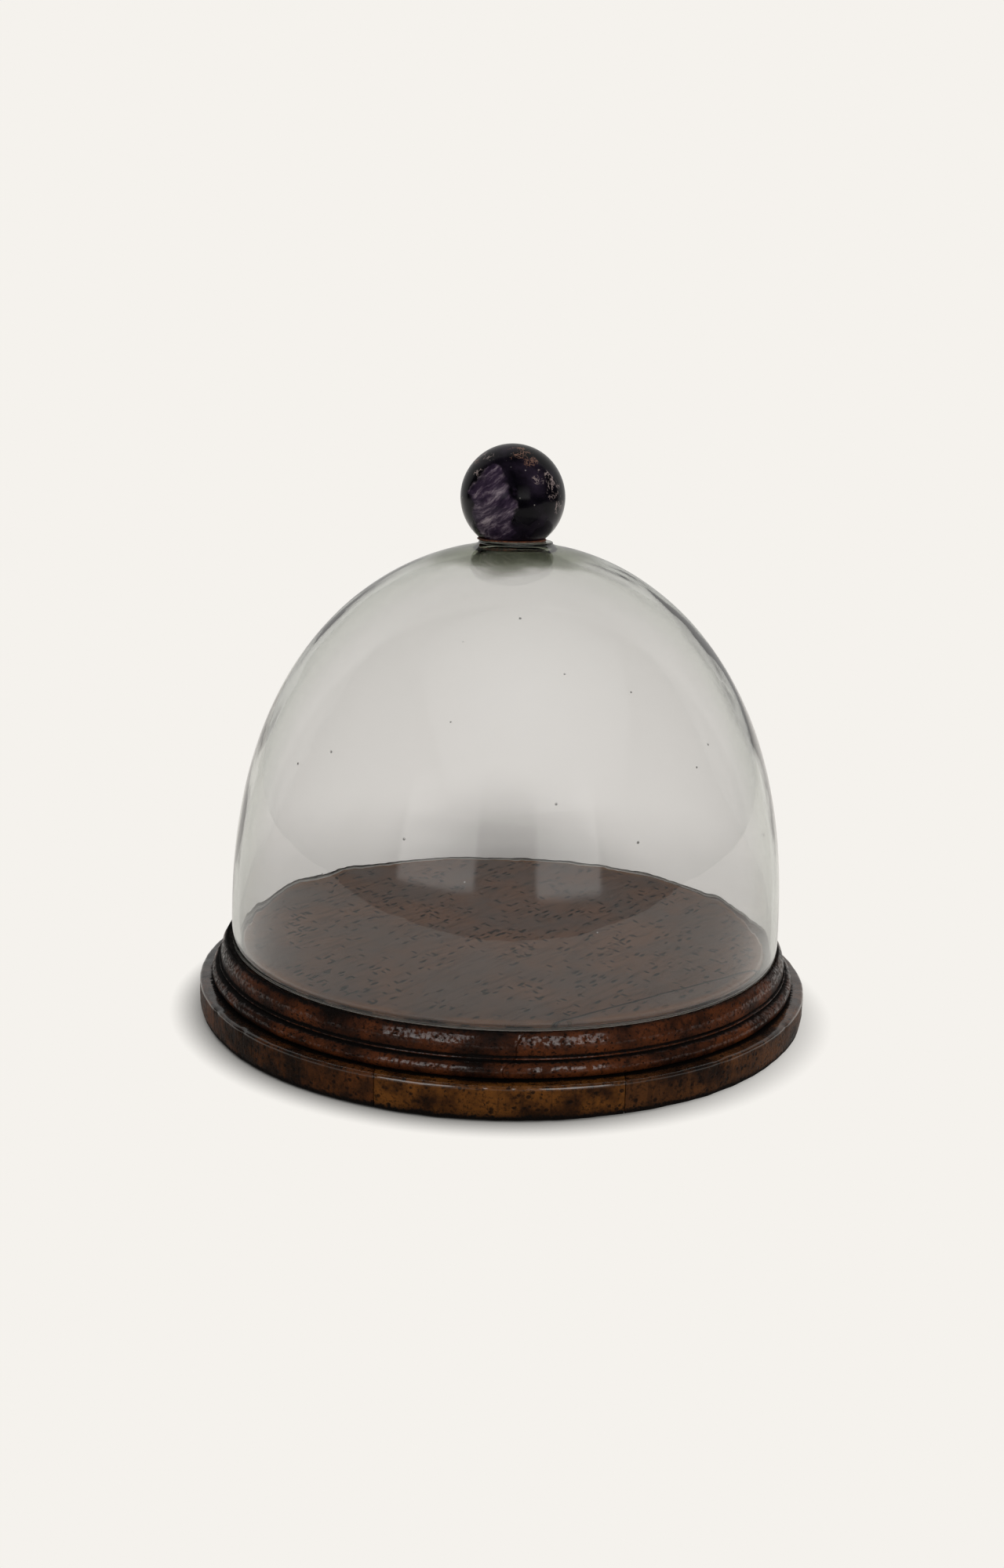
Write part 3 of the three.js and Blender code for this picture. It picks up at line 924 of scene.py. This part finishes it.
print("glass outline points:", len(glass_outline))

# %% [markdown]
# Blown glass is never even. The two faces move apart and together by a few tenths of a millimetre, in
# waves that run round the dome, and light bends differently in each wave: that is what makes the edge of
# the wood look ragged through it, and the grey line at the side of the dome thick and thin. The waves fade
# out at the ground rim and at the button. Seeds are small bubbles in the middle of the wall: hollow, so
# their faces point into the bubble.

# %% Glass dome
dome = turn(glass_outline, 288)
dome.normal_update()
WAVES = {"outer": ((0.35, 90, 5.0), (0.08, 26, 2.0)),
         "inner": ((0.4, 80, 9.0), (0.12, 20, 4.0), (0.035, 9, 1.0))}
WAVE_HEIGHT = 0.6


def waves(place, outward):
    """How far a place on the glass moves along its normal, in millimetres, before fading."""
    move = 0.0
    for depth, cell, seed in WAVES["outer" if outward else "inner"]:
        spot_at = Vector((place.x, place.y, place.z * WAVE_HEIGHT)) / (cell * MM)
        move += depth * noise.noise(spot_at + Vector((seed, seed, seed)))
    return move


for vert in dome.verts:
    radius, height = math.hypot(vert.co.x, vert.co.y) / MM, vert.co.z / MM
    fade = min(1, max(0, (height - rim_mm - 1) / 8)) * min(1, max(0, (radius - BUTTON_RADIUS - 3) / 12))
    outward = vert.normal.dot(Vector((vert.co.x, vert.co.y, vert.co.z - GLASS_RIM))) > 0
    vert.co += vert.normal * waves(vert.co, outward) * fade * MM

# Each seed: turn from the front, share of the dome's rise, and radius in millimetres.
SEEDS = [(9.3, 0.5, 0.55), (25.9, 0.41, 0.6), (-20.5, 0.41, 0.6), (2, 0.87, 0.6), (-38, 0.3, 0.5),
         (44, 0.55, 0.5), (-14, 0.66, 0.4), (31, 0.72, 0.45), (-52, 0.52, 0.6), (66, 0.35, 0.7),
         (120, 0.45, 0.8), (165, 0.6, 0.6), (-130, 0.38, 0.7), (-165, 0.7, 0.5), (-95, 0.6, 0.6),
         (95, 0.25, 0.6), (17, 0.22, 0.4), (-8, 0.33, 0.4)]
for turn_degrees, share, size in SEEDS:
    height = rim_mm + (SHOULDER_TOP - CROWN / 2 - rim_mm) * share
    middle = on_base(turn_degrees, (glass_mm - WALL / 2) * closing(share), height)
    bubble = bmesh.ops.create_icosphere(dome, subdivisions=3, radius=size * MM,
                                        matrix=Matrix.Translation(middle))
    skin = {face for vert in bubble["verts"] for face in vert.link_faces}
    bmesh.ops.reverse_faces(dome, faces=list(skin))
bmesh.ops.translate(dome, verts=dome.verts, vec=(GLASS_X, 0, 0))
glass_dome = finish_piece(dome, "glass_dome_blown", [glass], "dome", "blown_glass", "glass_dome")

# %% [markdown]
# ## The finial
# The ball is an icosphere, whose faces are all of a size, so that it has no pole to show in the polish.
# Its foot is cut flat with `bisect_plane` and closed. The cement bed under it is a thin turned disc that
# squeezed out unevenly.

# %% Finial ball and bedding
ball = bmesh.new()
bmesh.ops.create_icosphere(ball, subdivisions=6, radius=BALL_RADIUS)
worn(ball, (0.22, 22, 6.6))
bmesh.ops.translate(ball, verts=ball.verts, vec=BALL_CENTRE)
foot = Vector((0, 0, ball_low[2]))
ball_cut = sawn(ball, (foot, Vector((0, 0, -1))))
ball.free()
finish_piece(ball_cut, "finial_ball_polished", [amethyst], "dome", "amethyst", "finial_ball")

BED_FLAT, BED_ROUND = 0.6, 0.35
bed_bottom, bed_top = bed_low[2] / MM, bed_high[2] / MM
bed_radius = (bed_high[0] - bed_low[0]) / 2 / MM
bed_edge = arc(bed_radius - BED_ROUND, (bed_bottom + bed_top) / 2, BED_ROUND, -80, 80, 6)
bed = turn([(0, bed_bottom), (bed_radius - BED_FLAT, bed_bottom), *bed_edge,
            (bed_radius - BED_FLAT, bed_top), (0, bed_top)], 96)
worn(bed, (0.12, 5, 3.3))
bmesh.ops.translate(bed, verts=bed.verts, vec=(BALL_CENTRE.x, 0, 0))
finish_piece(bed, "finial_bedding_cement", [cement], "dome", "cement", "finial_bedding")

# %% [markdown]
# ## Underneath
# The baize is a thin disc with a soft edge. The screws keep their engineered shape and only get a finish.

# %% Baize and screws
baize_mm, thick_mm = baize_high[0] / MM, baize_high[2] / MM
baize_outline = [(0, 0), (baize_mm - 0.4, 0), (baize_mm, 0.4), (baize_mm - 0.2, thick_mm), (0, thick_mm)]
pad = turn([baize_outline[0], *finer(baize_outline[1:-1], 0.5), baize_outline[-1]], 180)
finish_piece(pad, "baize_pad_felted", [baize], "base", "baize", "baize_pad")

screws = [name for name in frame["nodes"] if name.startswith("base_screw")]
for name in screws:
    for slot in frame["nodes"][name].material_slots:
        slot.material = steel
print("screws finished:", len(screws))

# %% [markdown]
# ## Studio
# The backdrop is pale and plain. Reflections and light come from a soft room: a bright wall behind,
# darkness in front, and two tall windows in front that stand as faint patches in the glass. A Light Path
# switch in the world gives the eye the pale backdrop and gives mirrors the room.

# %% World
PALE = seen(245, 242, 237)
ROOM_TINT = (1, 0.985, 0.96, 1)
DARK_FRONT, BRIGHT_WALL = 0.03, 0.5
WINDOW_LIGHT = 1.9
WINDOW_SOFT, WINDOW_TOP_SOFT = 1.5, 16
AMBIENT = 0.7
world = bpy.data.worlds.new("studio")
bpy.context.scene.world = world
world.use_nodes = True
sky = world.node_tree
sky.nodes.clear()
way = add("TexCoord", tree=sky).outputs["Generated"]
way_parts = add("SeparateXYZ", {0: way}).outputs
forward = times(way_parts["Y"], -1)
bearing = calc("DEGREES", calc("ARCTAN2", way_parts["X"], forward))
rise_angle = calc("DEGREES", calc("ARCSINE", way_parts["Z"]))


def window(left, right, sill, top):
    """A mask over part of the room, between two bearings and two heights in degrees."""
    return times(map_value(bearing, left - WINDOW_SOFT, left + WINDOW_SOFT),
                 map_value(bearing, right + WINDOW_SOFT, right - WINDOW_SOFT),
                 map_value(rise_angle, sill - WINDOW_SOFT, sill + WINDOW_SOFT),
                 map_value(rise_angle, top + WINDOW_TOP_SOFT, top - WINDOW_TOP_SOFT))


behind = calc("MULTIPLY_ADD", calc("ABSOLUTE", way_parts["Z"]), 0.3, way_parts["Y"])
wall_light = map_value(behind, 0.46, 0.54, DARK_FRONT, BRIGHT_WALL)
windows = times(calc("ADD", window(-44, -13, 1, 18), window(12, 38, 0, 17)), WINDOW_LIGHT)
room = calc("ADD", wall_light, windows)
path = add("LightPath", tree=sky).outputs
room = add("Mix", {0: path["Is Diffuse Ray"], 2: room, 3: AMBIENT}).outputs[0]
room_tint = blend_colour(1.0, ROOM_TINT, room, "MULTIPLY")
straight = calc("MAXIMUM", path["Is Camera Ray"], path["Is Transmission Ray"])
background = add("Background", {"Color": blend_colour(straight, room_tint, PALE)})
add("OutputWorld", {"Surface": background.outputs[0]})
print("world nodes:", len(sky.nodes))

# %% [markdown]
# The key light is a large soft panel high on the right behind the object, so the shadow falls to the
# front left, close under the plinth. A second, weaker panel fills from the front right.

# %% Lamps
def panel(name, place, aim, size, power):
    """A rectangular area lamp that faces a point and isn't seen itself."""
    data = bpy.data.lights.new(name, "AREA")
    data.shape = "RECTANGLE"
    data.size, data.size_y = size
    data.energy = power
    lamp = bpy.data.objects.new(name, data)
    lamp.location = place
    lamp.rotation_mode = "QUATERNION"
    lamp.rotation_quaternion = (Vector(place) - Vector(aim)).to_track_quat("Z", "Y")
    bpy.context.scene.collection.objects.link(lamp)
    lamp.visible_camera = False
    lamp.visible_glossy = False
    lamp.visible_transmission = False
    return lamp


def highlights_only(lamp, receivers):
    """Lets a lamp give highlights and no diffuse light, on the pieces of one collection."""
    lamp.visible_glossy = True
    lamp.visible_diffuse = False
    lamp.light_linking.receiver_collection = receivers


OBJECT_MIDDLE = (0, 0, 0.1)
key = panel("key_panel", (0.9, 1.1, 1.9), OBJECT_MIDDLE, (1.6, 1.6), 18)
fill = panel("fill_panel", (1.3, -1.1, 1.0), OBJECT_MIDDLE, (1.4, 1.4), 4.5)
print("lamps:", key.name, fill.name)

# %% [markdown]
# The varnish needs stronger windows than the glass does, because it mirrors only a twentieth of the light.
# Two more lamps hang where the windows are. Light linking lets them reach the wooden pieces alone, and
# they give highlights only, no diffuse light.

# %% Window lamps for the varnish
wooden = bpy.data.collections.new("varnished_wood")
for piece in bpy.data.objects:
    if piece.name.startswith(("plinth_board", "top_board")) and piece.name.endswith("_turned"):
        wooden.objects.link(piece)
WINDOW_DISTANCE = 1.5
WINDOW_RISE = 0.38
WINDOW_HEIGHT = 0.9
WINDOW_POWER = 7
for name, lamp_bearing, width in (("left_window", -27, 0.85), ("right_window", 25, 0.7)):
    angle = math.radians(lamp_bearing)
    hangs_at = Vector((math.sin(angle), -math.cos(angle), WINDOW_RISE)) * WINDOW_DISTANCE
    window_lamp = panel(name, hangs_at, (0, 0, 0.03), (width, WINDOW_HEIGHT), WINDOW_POWER)
    highlights_only(window_lamp, wooden)

# %% [markdown]
# The middle of the dome glows softly, because a bright ceiling in front of it is mirrored there. A large
# panel with a narrow spread looks bright in its middle and fades towards its edges, and it is linked to
# the glass alone, so that the varnish stays dark.

# %% Ceiling glow for the glass
glassware = bpy.data.collections.new("glassware")
glassware.objects.link(glass_dome)
glow = panel("ceiling_glow", (0.25, -1.0, 1.9), (0, 0, 0.15), (3.4, 3.4), 13)
glow.data.spread = math.radians(100)
highlights_only(glow, glassware)
print("glass lit by:", glow.name)

# %% [markdown]
# The floor is as pale as the backdrop, so no horizon shows. The eye sees it as a plain tone with a soft
# contact shadow, which an Ambient Occlusion node finds within a few centimetres of the plinth and which
# is stronger on the side away from the key light. Through the glass the eye also sees the dim shade that
# the dome throws behind itself. Other rays meet an ordinary matte floor.

# %% Floor
FLOOR_HALF = (2.4, 1.9)
FRONT_EDGE = 0.68
FLOOR_DROP = 0.02
CONTACT_REACH = 0.017
CONTACT_STRENGTH = 1.8
floor_bm = bmesh.new()
bmesh.ops.create_grid(floor_bm, x_segments=8, y_segments=8, size=1)
bmesh.ops.scale(floor_bm, verts=floor_bm.verts, vec=(*FLOOR_HALF, 1))
bmesh.ops.translate(floor_bm, verts=floor_bm.verts, vec=(0, FLOOR_HALF[1] - FRONT_EDGE, -FLOOR_DROP * MM))
floor_mesh = bpy.data.meshes.new("floor")
floor_bm.to_mesh(floor_mesh)
floor_bm.free()
floor = bpy.data.objects.new("floor", floor_mesh)
bpy.context.scene.collection.objects.link(floor)


def floor_finish():
    material, shader, place = new_material(
        "pale_floor", Base_Color=(0.82, 0.8, 0.77, 1), Roughness=0.9, Specular_IOR_Level=0.0)
    tree = material.node_tree
    turn_at = use_group(turned_place, Vector=place)["Turn"]
    near = add("AmbientOcclusion", {"Distance": CONTACT_REACH}, tree, samples=16).outputs["AO"]
    contact = times(rest_of(calc("POWER", near, CONTACT_STRENGTH)), map_value(turn_at, -10, 70, 1.0, 0.5))
    tone = blend_colour(1.0, PALE, rest_of(contact), "MULTIPLY")
    path = add("LightPath", tree=tree).outputs
    through = path["Is Transmission Ray"]
    rear, wide = (use_group(spot, Vector=place, Centre=centre, Size=size, Ragged=0.1, Grain=6.0,
                            Soft=1.0)["Mask"]
                  for centre, size in (((0.003, 0.2, 0), (0.11, 0.42, 1)), ((-0.03, 0.12, 0), (0.4, 0.4, 1))))
    shade = calc("MULTIPLY_ADD", rear, 0.38, times(wide, 0.4))
    tone = blend_colour(times(shade, through), tone, (0, 0, 0, 1))
    plain = add("Emission", {"Color": tone})
    eye = calc("MAXIMUM", path["Is Camera Ray"], through)
    mixed = add("MixShader", {0: eye, 1: shader.outputs[0], 2: plain.outputs[0]})
    plug(tree.nodes["Material Output"].inputs, {"Surface": mixed.outputs[0]})
    return material


floor_mesh.materials.append(floor_finish())
print("floor reaches", FRONT_EDGE, "m to the front")

# %% [markdown]
# ## Finish
# The picture is shown without a film curve, so that the pale backdrop stays the tone it was given.

# %% Finish
bpy.context.scene.view_settings.view_transform = "Standard"
